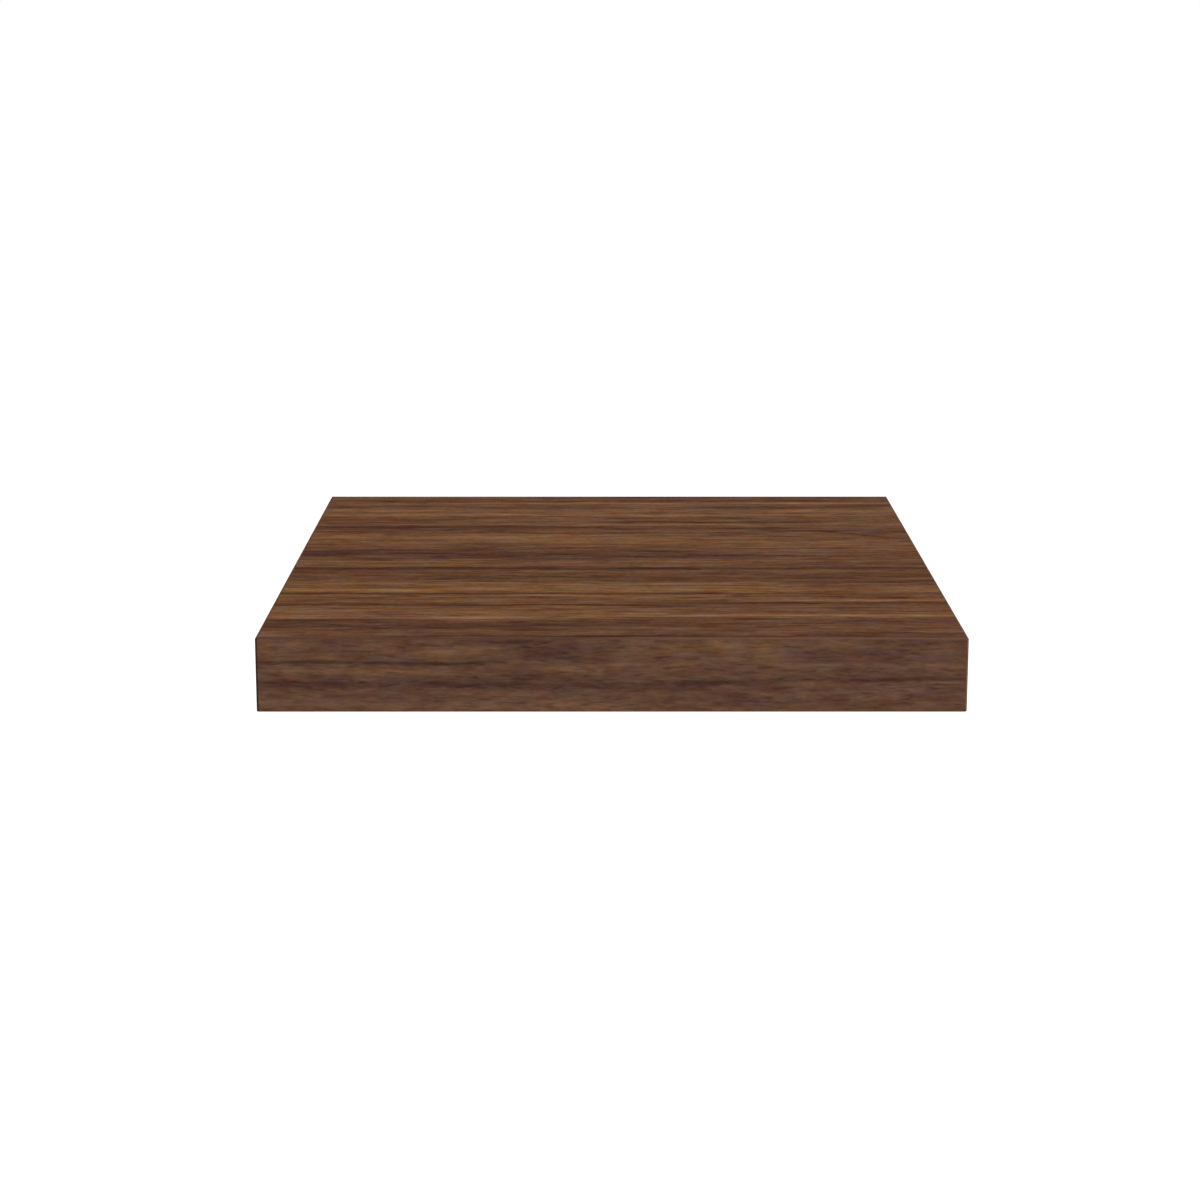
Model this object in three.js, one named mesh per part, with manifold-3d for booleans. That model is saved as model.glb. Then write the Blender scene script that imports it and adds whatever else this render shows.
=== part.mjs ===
// A floating wall shelf: a flat hollow-core board in walnut foil that slides over two steel rods.
// The rods stand on a flat steel plate that is screwed to the wall, so nothing of the bracket shows.
// Lengths are millimetres. X runs along the wall, the board reaches towards -Y, and Z is up.
// The origin is on the wall, at the middle of the plate's back face.
import * as THREE from "three";
import { mergeVertices } from "three/addons/utils/BufferGeometryUtils.js";
import Module from "manifold-3d";

const wasm = await Module();
wasm.setup();

// The board
const boardWidth = 350;
const boardDepth = 235;
const boardThickness = 38;
const skinThickness = 3;
const bandThickness = 1;
const bandEdgeRadius = 0.8;
const glueLine = 0.1;
const sideRailWidth = 20;
const frontRailWidth = 20;
const rearRailWidth = 66;

// The paper honeycomb inside it
const cellAcrossFlats = 22;
const cellWall = 0.9;
const coreSideGap = 0.3;
const rodTunnelClearance = 1.5;
const smallestCellShare = 0.12;

// The wall plate
const plateThickness = 4;
const plateCornerRadius = 3;
const plateEndInset = 25;
const plateEdgeInset = 4.5;
const channelGap = 0.4;

// The two rods and the weld beads at their feet
const rodDiameter = 12;
const rodLength = 110;
const rodEndInset = 75;
const rodTipChamfer = 1.5;
const rodRunningClearance = 0.4;
const spigotDiameter = 8;
const spigotSetback = 0.2;
const weldLeg = 3.5;
const weldClearance = 0.8;
const weldCrownShare = 0.62;
const seatGap = 0.1;
const partClearance = 0.3;

// The wall screws and their plugs
const screwLength = 50;
const screwCoreDiameter = 4.6;
const screwHeadDiameter = 9.4;
const screwHeadRim = 0.5;
const screwPointLength = 6;
const screwEndInset = 14;
const innerScrewShare = 0.45;
const slotTravel = 8;
const recessArm = 5;
const recessBlade = 1.1;
const recessDepth = 2.4;
const plugDiameter = 8;
const plugLength = 40;
const plugDepthInWall = 3;
const plugToothHeight = 0.5;
const plugToothPitch = 6;
const plugNeckLength = 8;
const plugSlitWidth = 1.4;
const plugSlitLength = 26;

// The set screws that lock the board on the rods, and the threaded inserts that hold them
const lockFromWall = 32;
const setScrewDiameter = 6;
const setScrewRecess = 4.7;
const setScrewTipGap = 0.3;
const setScrewTipChamfer = 1;
const socketAcrossFlats = 3;
const socketDepthShare = 0.45;
const insertDiameter = 8.4;
const insertHeadGap = 1.2;
const insertFlangeDiameter = 11.6;
const insertFlangeThickness = 1.2;
const insertFlangeRecess = 0.2;

// How finely round pieces are cut, how far a cutter runs past what it cuts, and how close two
// corners lie that are one
const roundSides = 24;
const smallRoundSides = 16;
const arcSteps = 4;
const cutOverrun = 2;
const mergeDistance = 0.0001;

// What follows from the sizes above
const bandAndGlue = bandThickness + glueLine;
const skinWidth = boardWidth - 2 * bandAndGlue;
const skinDepth = boardDepth - bandAndGlue;
const skinMiddle = boardThickness / 2 - skinThickness / 2;
const frameHeight = boardThickness - 2 * (skinThickness + glueLine);
const rodRadius = rodDiameter / 2;
const rodX = boardWidth / 2 - rodEndInset;
const rodBoreRadius = rodRadius + rodRunningClearance;
const plateLength = boardWidth - 2 * plateEndInset;
const plateHeight = boardThickness - 2 * plateEdgeInset;
const plateFront = -plateThickness;
const channelDepth = plateThickness + channelGap;
const rearRailFront = -(channelDepth + rearRailWidth);
const frontRailBack = -(skinDepth - frontRailWidth);
const shaftRadius = screwCoreDiameter / 2;
const screwHoleRadius = shaftRadius + partClearance;
const screwHeadRadius = screwHeadDiameter / 2;
const setScrewRadius = setScrewDiameter / 2 - partClearance;
const setScrewTip = -(rodRadius + setScrewTipGap);
const setScrewLength = boardThickness / 2 - setScrewRecess + setScrewTip;
const insertHoleRadius = insertDiameter / 2 + partClearance;
const flangeHoleRadius = insertFlangeDiameter / 2 + partClearance;
const flangeHoleDepth = insertFlangeThickness + insertFlangeRecess + glueLine;
const sides = { left: -1, right: 1 };

const materials = {
  walnutFoil: new THREE.MeshStandardMaterial({ color: 0x5f4432, roughness: 0.55, metalness: 0 }),
  walnutEdge: new THREE.MeshStandardMaterial({ color: 0x5a3a26, roughness: 0.5, metalness: 0 }),
  chipboard: new THREE.MeshStandardMaterial({ color: 0xb08e60, roughness: 0.9, metalness: 0 }),
  pine: new THREE.MeshStandardMaterial({ color: 0xcfae7c, roughness: 0.8, metalness: 0 }),
  paper: new THREE.MeshStandardMaterial({ color: 0xb49a72, roughness: 0.95, metalness: 0 }),
  zincSteel: new THREE.MeshStandardMaterial({ color: 0xb4b8ba, roughness: 0.35, metalness: 1 }),
  weldMetal: new THREE.MeshStandardMaterial({ color: 0x8a8784, roughness: 0.5, metalness: 1 }),
  blackSteel: new THREE.MeshStandardMaterial({ color: 0x24252a, roughness: 0.4, metalness: 1 }),
  brass: new THREE.MeshStandardMaterial({ color: 0xb99552, roughness: 0.35, metalness: 1 }),
  nylon: new THREE.MeshStandardMaterial({ color: 0x9a9c9c, roughness: 0.6, metalness: 0 }),
};

// A closed three.js geometry as a manifold solid.
function solidOf(geometry) {
  const bare = geometry.index ? geometry.toNonIndexed() : geometry.clone();
  bare.deleteAttribute("normal");
  bare.deleteAttribute("uv");
  const merged = mergeVertices(bare, mergeDistance);
  return new wasm.Manifold(
    new wasm.Mesh({
      numProp: 3,
      vertProperties: merged.attributes.position.array,
      triVerts: new Uint32Array(merged.index.array),
    }),
  );
}

// A manifold solid as a three.js geometry with flat faces.
function geometryOf(solid) {
  const mesh = solid.getMesh();
  const positions = new THREE.BufferAttribute(mesh.vertProperties, mesh.numProp);
  const indexed = new THREE.BufferGeometry().setAttribute("position", positions);
  indexed.setIndex(new THREE.BufferAttribute(mesh.triVerts, 1));
  const faceted = indexed.toNonIndexed();
  faceted.computeVertexNormals();
  return faceted;
}

// What is left of a geometry once the cutters are taken away.
function cut(geometry, cutters) {
  let solid = solidOf(geometry);
  for (const cutter of cutters) solid = solid.subtract(solidOf(cutter));
  return geometryOf(solid);
}

function box(width, depth, height) {
  return new THREE.BoxGeometry(width, depth, height);
}

// A body turned about Y. Each row of the profile is [radius, y], from the lowest y to the highest.
function turnedAboutY(profile, segments = roundSides) {
  const points = profile.map(([radius, y]) => new THREE.Vector2(radius, y));
  return new THREE.LatheGeometry(points, segments);
}

// The same about Z: each row is [radius, z].
function turnedAboutZ(profile, segments = roundSides) {
  return turnedAboutY(profile, segments).rotateX(Math.PI / 2);
}

// Plain cylinders along Y and Z, between two places on their axis.
function cylinderAlongY(radius, low, high, segments = roundSides) {
  return turnedAboutY([[0, low], [radius, low], [radius, high], [0, high]], segments);
}

function cylinderAlongZ(radius, low, high, segments = roundSides) {
  return cylinderAlongY(radius, low, high, segments).rotateX(Math.PI / 2);
}

function addPiece(group, name, geometry, material, x = 0, y = 0, z = 0) {
  const mesh = new THREE.Mesh(geometry, material);
  mesh.name = name;
  mesh.position.set(x, y, z);
  group.add(mesh);
  return mesh;
}

// A shape that is a rectangle with its corners rounded by the radii, from bottom left anticlockwise.
function roundedRectangle(width, height, radii) {
  const [lowLeft, lowRight, highRight, highLeft] = radii;
  const right = width / 2;
  const top = height / 2;
  const shape = new THREE.Shape();
  shape.moveTo(-right + lowLeft, -top);
  shape.lineTo(right - lowRight, -top);
  if (lowRight) shape.absarc(right - lowRight, -top + lowRight, lowRight, -Math.PI / 2, 0);
  shape.lineTo(right, top - highRight);
  if (highRight) shape.absarc(right - highRight, top - highRight, highRight, 0, Math.PI / 2);
  shape.lineTo(-right + highLeft, top);
  if (highLeft) shape.absarc(-right + highLeft, top - highLeft, highLeft, Math.PI / 2, Math.PI);
  shape.lineTo(-right, -top + lowLeft);
  if (lowLeft) shape.absarc(-right + lowLeft, -top + lowLeft, lowLeft, Math.PI, 1.5 * Math.PI);
  return shape;
}

function extrude(shape, depth) {
  return new THREE.ExtrudeGeometry(shape, { depth, bevelEnabled: false, curveSegments: arcSteps });
}

// The foil-faced top and bottom skins. The bottom one has a stepped hole for each threaded insert.
function bottomSkin() {
  const outerFace = -skinThickness / 2;
  const cutters = Object.values(sides).flatMap((side) => {
    const hole = cylinderAlongZ(insertHoleRadius, outerFace - cutOverrun, -outerFace + cutOverrun);
    const step = cylinderAlongZ(flangeHoleRadius, outerFace - cutOverrun, outerFace + flangeHoleDepth);
    const y = skinDepth / 2 - lockFromWall;
    return [hole.translate(side * rodX, y, 0), step.translate(side * rodX, y, 0)];
  });
  return cut(box(skinWidth, skinDepth, skinThickness), cutters);
}

function addSkins(board) {
  const top = box(skinWidth, skinDepth, skinThickness);
  addPiece(board, "top_skin", top, materials.walnutFoil, 0, -skinDepth / 2, skinMiddle);
  addPiece(board, "bottom_skin", bottomSkin(), materials.walnutFoil, 0, -skinDepth / 2, -skinMiddle);
}

// The edge bands: one across the front, and one down each side that laps the front band's end.
function addEdgeBands(board) {
  const eased = bandEdgeRadius;
  const frontProfile = roundedRectangle(bandThickness, boardThickness, [eased, 0, 0, eased]);
  const front = extrude(frontProfile, skinWidth).rotateX(Math.PI / 2).rotateZ(Math.PI / 2);
  const frontY = bandThickness / 2 - boardDepth;
  addPiece(board, "front_edge_band", front, materials.walnutEdge, -skinWidth / 2, frontY);
  for (const [name, side] of Object.entries(sides)) {
    const radii = side > 0 ? [0, eased, eased, 0] : [eased, 0, 0, eased];
    const profile = roundedRectangle(bandThickness, boardThickness, radii);
    const band = extrude(profile, boardDepth).rotateX(Math.PI / 2);
    const x = side * (boardWidth - bandThickness) / 2;
    addPiece(board, `${name}_edge_band`, band, materials.walnutEdge, x);
  }
}

// The frame between the skins. The side rails run to the wall, and the rear rail stops short of it,
// which leaves the channel that the wall plate fills.
function addFrame(board) {
  const frontDepth = frontRailWidth - glueLine;
  const front = box(skinWidth, frontDepth, frameHeight);
  addPiece(board, "front_rail", front, materials.chipboard, 0, frontDepth / 2 - skinDepth);
  const sideLength = -frontRailBack;
  const sideX = (skinWidth - sideRailWidth) / 2;
  for (const [name, side] of Object.entries(sides)) {
    const rail = box(sideRailWidth, sideLength, frameHeight);
    addPiece(board, `${name}_rail`, rail, materials.chipboard, side * sideX, -sideLength / 2);
  }
  addPiece(board, "rear_rail", rearRail(), materials.pine, 0, (rearRailFront - channelDepth) / 2);
}

// A solid batten, bored for the rods, with a wider mouth for the weld beads and a hole for each insert.
function rearRail() {
  const width = skinWidth - 2 * (sideRailWidth + glueLine);
  const back = rearRailWidth / 2;
  const wallY = back + channelDepth;
  const cutters = Object.values(sides).flatMap((side) => {
    const bore = cylinderAlongY(rodBoreRadius, -back - cutOverrun, back + cutOverrun);
    const mouthRadius = rodRadius + partClearance + weldLeg + weldClearance;
    const mouth = cylinderAlongY(mouthRadius, back - weldLeg - weldClearance, back + cutOverrun);
    const lock = cylinderAlongZ(insertHoleRadius, -frameHeight / 2 - cutOverrun, 0);
    return [
      bore.translate(side * rodX, 0, 0),
      mouth.translate(side * rodX, 0, 0),
      lock.translate(side * rodX, wallY - lockFromWall, 0),
    ];
  });
  return cut(box(width, rearRailWidth, frameHeight), cutters);
}

// The part of a convex outline on the inner side of a line: coordinate * sign <= limit.
function clip(outline, coordinate, sign, limit) {
  const kept = [];
  outline.forEach((point, i) => {
    const next = outline[(i + 1) % outline.length];
    const here = limit - sign * point[coordinate];
    const there = limit - sign * next[coordinate];
    if (here >= 0) kept.push(point);
    if (here * there < 0) kept.push(point.clone().lerp(next, here / (here - there)));
  });
  return kept;
}

// The hexagonal hollows of the paper honeycomb, each as a prism. Those at the border are cut short
// so that a wall closes them, and slivers are left out.
function honeycombCells(width, depth) {
  const radius = (cellAcrossFlats - cellWall) / Math.sqrt(3);
  const rowPitch = (cellAcrossFlats * Math.sqrt(3)) / 2;
  const smallest = smallestCellShare * cellAcrossFlats ** 2;
  const rows = Math.ceil(depth / 2 / rowPitch);
  const columns = Math.ceil(width / 2 / cellAcrossFlats) + 1;
  const height = frameHeight + 2 * cutOverrun;
  const cells = [];
  for (let row = -rows; row <= rows; row += 1) {
    for (let column = -columns; column <= columns; column += 1) {
      const x = (column + (row % 2 ? 0.5 : 0)) * cellAcrossFlats;
      const y = row * rowPitch;
      let cell = [0, 1, 2, 3, 4, 5].map((corner) => {
        const angle = (corner * Math.PI) / 3 + Math.PI / 6;
        return new THREE.Vector2(x + radius * Math.cos(angle), y + radius * Math.sin(angle));
      });
      for (const sign of [-1, 1]) {
        cell = clip(cell, "x", sign, width / 2 - cellWall);
        cell = clip(cell, "y", sign, depth / 2 - cellWall);
      }
      if (cell.length > 2 && Math.abs(THREE.ShapeUtils.area(cell)) > smallest) {
        cells.push(extrude(new THREE.Shape(cell), height).translate(0, 0, -height / 2));
      }
    }
  }
  return cells;
}

// The honeycomb fills the frame, and two tunnels through it take the rods.
function addCore(board) {
  const width = skinWidth - 2 * (sideRailWidth + coreSideGap);
  const back = rearRailFront - coreSideGap;
  const front = frontRailBack + coreSideGap;
  const middle = (back + front) / 2;
  const tunnelRadius = rodRadius + rodTunnelClearance;
  const tunnelEnd = plateFront - rodLength - rodTunnelClearance - middle;
  const tunnels = Object.values(sides).map((side) => {
    const tunnel = cylinderAlongY(tunnelRadius, tunnelEnd, back - middle + cutOverrun, smallRoundSides);
    return tunnel.translate(side * rodX, 0, 0);
  });
  const block = box(width, back - front, frameHeight);
  const core = cut(block, [...honeycombCells(width, back - front), ...tunnels]);
  addPiece(board, "honeycomb_core", core, materials.paper, 0, middle);
}

// A threaded insert, pressed in from below, with its flange let into the bottom skin.
function insert() {
  const top = -(rodRadius + insertHeadGap);
  const bottom = -(boardThickness / 2 - insertFlangeRecess);
  const flangeTop = bottom + insertFlangeThickness;
  const bore = setScrewDiameter / 2;
  return turnedAboutZ([
    [bore, bottom],
    [insertFlangeDiameter / 2, bottom],
    [insertFlangeDiameter / 2, flangeTop],
    [insertDiameter / 2, flangeTop],
    [insertDiameter / 2, top],
    [bore, top],
    [bore, bottom],
  ]);
}

// A set screw with a chamfered tip at the top and a hexagon socket at the bottom.
function setScrew() {
  const bottom = setScrewTip - setScrewLength;
  const body = turnedAboutZ([
    [0, bottom],
    [setScrewRadius, bottom],
    [setScrewRadius, setScrewTip - setScrewTipChamfer],
    [setScrewRadius - setScrewTipChamfer, setScrewTip],
    [0, setScrewTip],
  ]);
  const socketRadius = socketAcrossFlats / Math.sqrt(3);
  const socketTop = bottom + socketDepthShare * setScrewLength;
  const socket = cylinderAlongZ(socketRadius, bottom - cutOverrun, socketTop, 6);
  return cut(body, [socket]);
}

function addLocks(board) {
  for (const [name, side] of Object.entries(sides)) {
    addPiece(board, `threaded_insert_${name}`, insert(), materials.brass, side * rodX, -lockFromWall);
    addPiece(board, `set_screw_${name}`, setScrew(), materials.blackSteel, side * rodX, -lockFromWall);
  }
}

// Where the wall screws go along the plate, from left to right. The inner two have slots.
const outerScrewX = plateLength / 2 - screwEndInset;
const innerScrewX = innerScrewShare * rodX;
const screwPlaces = [
  { x: -outerScrewX, slotted: false },
  { x: -innerScrewX, slotted: true },
  { x: innerScrewX, slotted: true },
  { x: outerScrewX, slotted: false },
];

// The half profile of a countersunk hole through the plate, as [radius, height above the wall].
function countersinkProfile() {
  const wide = screwHeadRadius + partClearance;
  const rim = screwHeadRim + partClearance;
  return [
    [screwHoleRadius, -cutOverrun],
    [screwHoleRadius, plateThickness - rim - (wide - screwHoleRadius)],
    [wide, plateThickness - rim],
    [wide, plateThickness + cutOverrun],
  ];
}

// The cutters of one screw hole, standing on the wall face with their mouth towards the room.
function screwHoleCutters({ x, slotted }) {
  const profile = countersinkProfile();
  const round = [[0, profile[0][1]], ...profile, [0, profile.at(-1)[1]]];
  if (!slotted) return [turnedAboutZ(round).translate(x, 0, 0)];
  const section = new THREE.Shape([
    ...profile.map(([radius, height]) => new THREE.Vector2(radius, height)),
    ...profile.toReversed().map(([radius, height]) => new THREE.Vector2(-radius, height)),
  ]);
  const middle = extrude(section, slotTravel).rotateX(Math.PI / 2).rotateZ(Math.PI / 2);
  return [
    turnedAboutZ(round).translate(x - slotTravel / 2, 0, 0),
    turnedAboutZ(round).translate(x + slotTravel / 2, 0, 0),
    middle.translate(x - slotTravel / 2, 0, 0),
  ];
}

// The flat plate that is screwed to the wall. It is drawn lying down and then stood upright.
function addWallPlate(bracket) {
  const radii = [plateCornerRadius, plateCornerRadius, plateCornerRadius, plateCornerRadius];
  const outline = roundedRectangle(plateLength, plateHeight, radii);
  for (const side of Object.values(sides)) {
    const hole = new THREE.Path();
    hole.absarc(side * rodX, 0, spigotDiameter / 2 + partClearance, 0, 2 * Math.PI);
    outline.holes.push(hole);
  }
  const blank = new THREE.ExtrudeGeometry(outline, {
    depth: plateThickness,
    bevelEnabled: false,
    curveSegments: smallRoundSides / 2,
  });
  const drilled = cut(blank, screwPlaces.flatMap(screwHoleCutters));
  const plate = addPiece(bracket, "wall_plate", drilled, materials.zincSteel);
  plate.rotation.x = Math.PI / 2;
}

// A rod with a spigot through the plate at its foot, and the weld bead round that foot.
function addRods(bracket) {
  const foot = plateFront - seatGap;
  const rod = turnedAboutY([
    [0, foot - rodLength],
    [rodRadius - rodTipChamfer, foot - rodLength],
    [rodRadius, foot - rodLength + rodTipChamfer],
    [rodRadius, foot],
    [spigotDiameter / 2, foot],
    [spigotDiameter / 2, -spigotSetback],
    [0, -spigotSetback],
  ]);
  const inner = rodRadius + partClearance;
  const crown = weldCrownShare * weldLeg;
  const bead = turnedAboutY([
    [inner, foot - weldLeg],
    [inner + crown, foot - crown],
    [inner + weldLeg, foot],
    [inner, foot],
    [inner, foot - weldLeg],
  ]);
  for (const [name, side] of Object.entries(sides)) {
    addPiece(bracket, `rod_${name}`, rod.clone(), materials.zincSteel, side * rodX);
    addPiece(bracket, `weld_bead_${name}`, bead.clone(), materials.weldMetal, side * rodX);
  }
}

// A countersunk wood screw that points into the wall, with a cross recess in its head.
function wallScrew() {
  const faceY = plateFront;
  const rimY = faceY + screwHeadRim;
  const neckY = rimY + screwHeadRadius - shaftRadius;
  const endY = faceY + screwLength;
  const body = turnedAboutY([
    [0, faceY],
    [screwHeadRadius, faceY],
    [screwHeadRadius, rimY],
    [shaftRadius, neckY],
    [shaftRadius, endY - screwPointLength],
    [0, endY],
  ], smallRoundSides);
  const blades = [box(recessArm, 2 * recessDepth, recessBlade), box(recessBlade, 2 * recessDepth, recessArm)];
  return cut(body, blades.map((blade) => blade.translate(0, faceY, 0)));
}

// A nylon plug, open at both ends, toothed outside and slit from its far end.
function wallPlug() {
  const bore = shaftRadius + partClearance;
  const outer = plugDiameter / 2;
  const inner = outer - plugToothHeight;
  const farEnd = plugDepthInWall + plugLength;
  const profile = [[bore, plugDepthInWall], [outer, plugDepthInWall]];
  for (let y = plugDepthInWall + plugNeckLength; y + plugToothPitch < farEnd; y += plugToothPitch) {
    profile.push([outer, y]);
    profile.push([inner, y + plugToothHeight]);
  }
  profile.push([inner, farEnd], [bore, farEnd], [bore, plugDepthInWall]);
  const slit = box(plugSlitWidth, plugSlitLength, plugDiameter + cutOverrun);
  return cut(turnedAboutY(profile, smallRoundSides), [
    slit.translate(0, farEnd + cutOverrun - plugSlitLength / 2, 0),
  ]);
}

function addWallFixings(bracket) {
  screwPlaces.forEach(({ x }, i) => {
    addPiece(bracket, `wall_screw_${i + 1}`, wallScrew(), materials.zincSteel, x);
    addPiece(bracket, `wall_plug_${i + 1}`, wallPlug(), materials.nylon, x);
  });
}

const board = new THREE.Group();
addSkins(board);
addEdgeBands(board);
addFrame(board);
addCore(board);
addLocks(board);

const bracket = new THREE.Group();
addWallPlate(bracket);
addRods(bracket);
addWallFixings(bracket);

const shelf = new THREE.Group();
shelf.add(board, bracket);

export default shelf;
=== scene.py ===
import math
from collections import namedtuple

import bmesh
import bpy
from mathutils import Matrix, Vector


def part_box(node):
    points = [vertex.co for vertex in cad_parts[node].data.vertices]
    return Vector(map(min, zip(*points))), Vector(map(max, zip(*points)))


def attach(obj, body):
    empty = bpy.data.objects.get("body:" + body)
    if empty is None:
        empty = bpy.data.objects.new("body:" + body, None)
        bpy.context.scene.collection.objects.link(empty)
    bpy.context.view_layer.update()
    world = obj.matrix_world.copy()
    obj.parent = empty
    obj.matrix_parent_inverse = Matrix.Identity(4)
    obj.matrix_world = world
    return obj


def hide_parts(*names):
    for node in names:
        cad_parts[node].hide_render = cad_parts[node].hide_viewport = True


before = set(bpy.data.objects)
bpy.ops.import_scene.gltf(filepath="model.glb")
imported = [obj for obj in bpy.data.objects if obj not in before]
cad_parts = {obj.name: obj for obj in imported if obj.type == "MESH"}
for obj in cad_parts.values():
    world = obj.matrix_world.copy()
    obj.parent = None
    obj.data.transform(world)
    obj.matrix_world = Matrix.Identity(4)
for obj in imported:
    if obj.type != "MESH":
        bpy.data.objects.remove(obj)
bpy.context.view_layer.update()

# The camera looks at the board's front from a little above. Part of the photograph's framing comes
# from the lens shift, and the rest from tilting the camera.
camera_place = (-0.0058, -1.0111, 0.3270)
camera_tilt = math.radians(7.31)
camera_lens = 49.57
camera_shift = -0.32
camera_near = 0.01

# Light and surroundings
world_light = 0.62
floor_drop = 1.2
floor_size = 12
floor_grey = 0.82
floor_roughness = 0.9
floor_glow = 0.6
key_place = (-0.7, -1.3, 2.1)
key_size = 2.2
key_power = 17
fill_place = (0.9, -2.6, 0.5)
fill_size = 1.8
fill_power = 13
back_place = (0.6, 2.4, 1.2)
back_size = 1.8
back_power = 13

# How finely round shapes are made, how far cutters reach past what they cut, and from which angle an
# edge is shaded as sharp
tiny = 0.00001
cut_overrun = 0.002
round_steps = 64
small_round_steps = 48
thread_round_steps = 32
bead_round_steps = 256
thread_rows = 10
easing_steps = 5
fine_easing_steps = 2
plate_easing_steps = 3
plate_corner_steps = 8
round_profile = 0.5
sharp_angle = math.radians(35)
bead_sharp_angle = math.radians(60)

# The board's eased edges, and the room round what passes through its rear batten. The wood print
# covers the faces that look outward at least as squarely as the print limits say.
band_easing = 0.0008
skin_easing = 0.0003
rail_easing = 0.0004
rod_bore_gap = 0.0004
weld_pocket_gap = 0.0008
skin_print_limit = 0.9
band_print_limit = 0.98

# The wall plate
plate_corner = 0.003
plate_easing = 0.0004
shank_hole_radius = 0.0026
spigot_hole_radius = 0.0043
head_gap = 0.0003
slot_travel = 0.008
screw_numbers = (1, 2, 3, 4)
slotted_screws = (2, 3)

# The rods and their weld beads
rod_chamfer = 0.0015
spigot_radius = 0.004
shoulder_gap = 0.0001
bead_gap = 0.0003
bead_rows = 10
bead_fullness = 1.47
bead_ripples = 22
bead_ripple_depth = 0.00028
bead_ripple_slant = 0.0033

# The wall screws
head_easing = 0.0002
screw_rim = 0.0005
shank_radius = 0.0023
screw_plain_length = 0.008
screw_thread_radius = 0.0025
screw_thread_depth = 0.0007
screw_thread_share = 0.45
screw_pitch = 0.0022
screw_point_length = 0.006
screw_point_share = 0.6
recess_arm = 0.0046
recess_blade = 0.0011
recess_tick = 0.0026
recess_tick_blade = 0.0004
recess_depth = 0.0026
recess_taper_share = 0.55

# The wall plugs
plug_bore_radius = 0.0026
plug_lip = 0.0003
plug_neck_length = 0.008
plug_tooth_pitch = 0.003
plug_tooth_height = 0.0005
plug_slit_width = 0.0014
plug_slit_length = 0.026

# The set screws and the threaded inserts that hold them
machine_pitch = 0.001
machine_thread_depth = 0.00028
machine_thread_share = 0.9
socket_across_flats = 0.003
socket_depth = 0.0036
cup_radius = 0.0013
cup_depth = 0.0007
insert_easing = 0.0003
insert_flange_thickness = 0.0012
insert_notch = 0.0009
insert_body_share = 0.72
insert_hole_share = 0.78
insert_pitch = 0.0025
insert_thread_depth = 0.0007
insert_thread_share = 0.5


def low(node):
    """The lowest corner of a CAD node."""
    return Vector(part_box(node)[0])


def high(node):
    """The highest corner of a CAD node."""
    return Vector(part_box(node)[1])


def radius(node):
    """The radius of a round CAD node."""
    return (high(node).x - low(node).x) / 2


def upright_axis(node):
    """Where the axis of an upright round node meets z = 0."""
    middle = (low(node) + high(node)) / 2
    return (middle.x, middle.y, 0)


def wall_axis(node):
    """Where the axis of a round node that points at the wall meets it."""
    middle = (low(node) + high(node)) / 2
    return (middle.x, 0, middle.z)


# The board's outer faces
board_left = low("left_edge_band").x
board_right = high("right_edge_band").x
board_front = low("front_edge_band").y
board_bottom = low("front_edge_band").z
board_top = high("front_edge_band").z
board_width = board_right - board_left
board_depth = -board_front
board_thickness = board_top - board_bottom

# Rods, inserts and set screws come in pairs. What points at the wall is made along Z and then turned.
sides = ("left", "right")
to_wall = Matrix.Rotation(-math.pi / 2, 4, "X")

# A streak in the walnut. Its place and width are shares of the face across the grain, its start and
# end shares of the face along the grain, and its lean is how far it climbs along the whole face.
# Its tone lightens or darkens the wood, and its warmth turns it golden or purple.
Streak = namedtuple("Streak", "place width start end tone warmth lean", defaults=(0, 0))
streak_softness_share = 0.05

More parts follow.
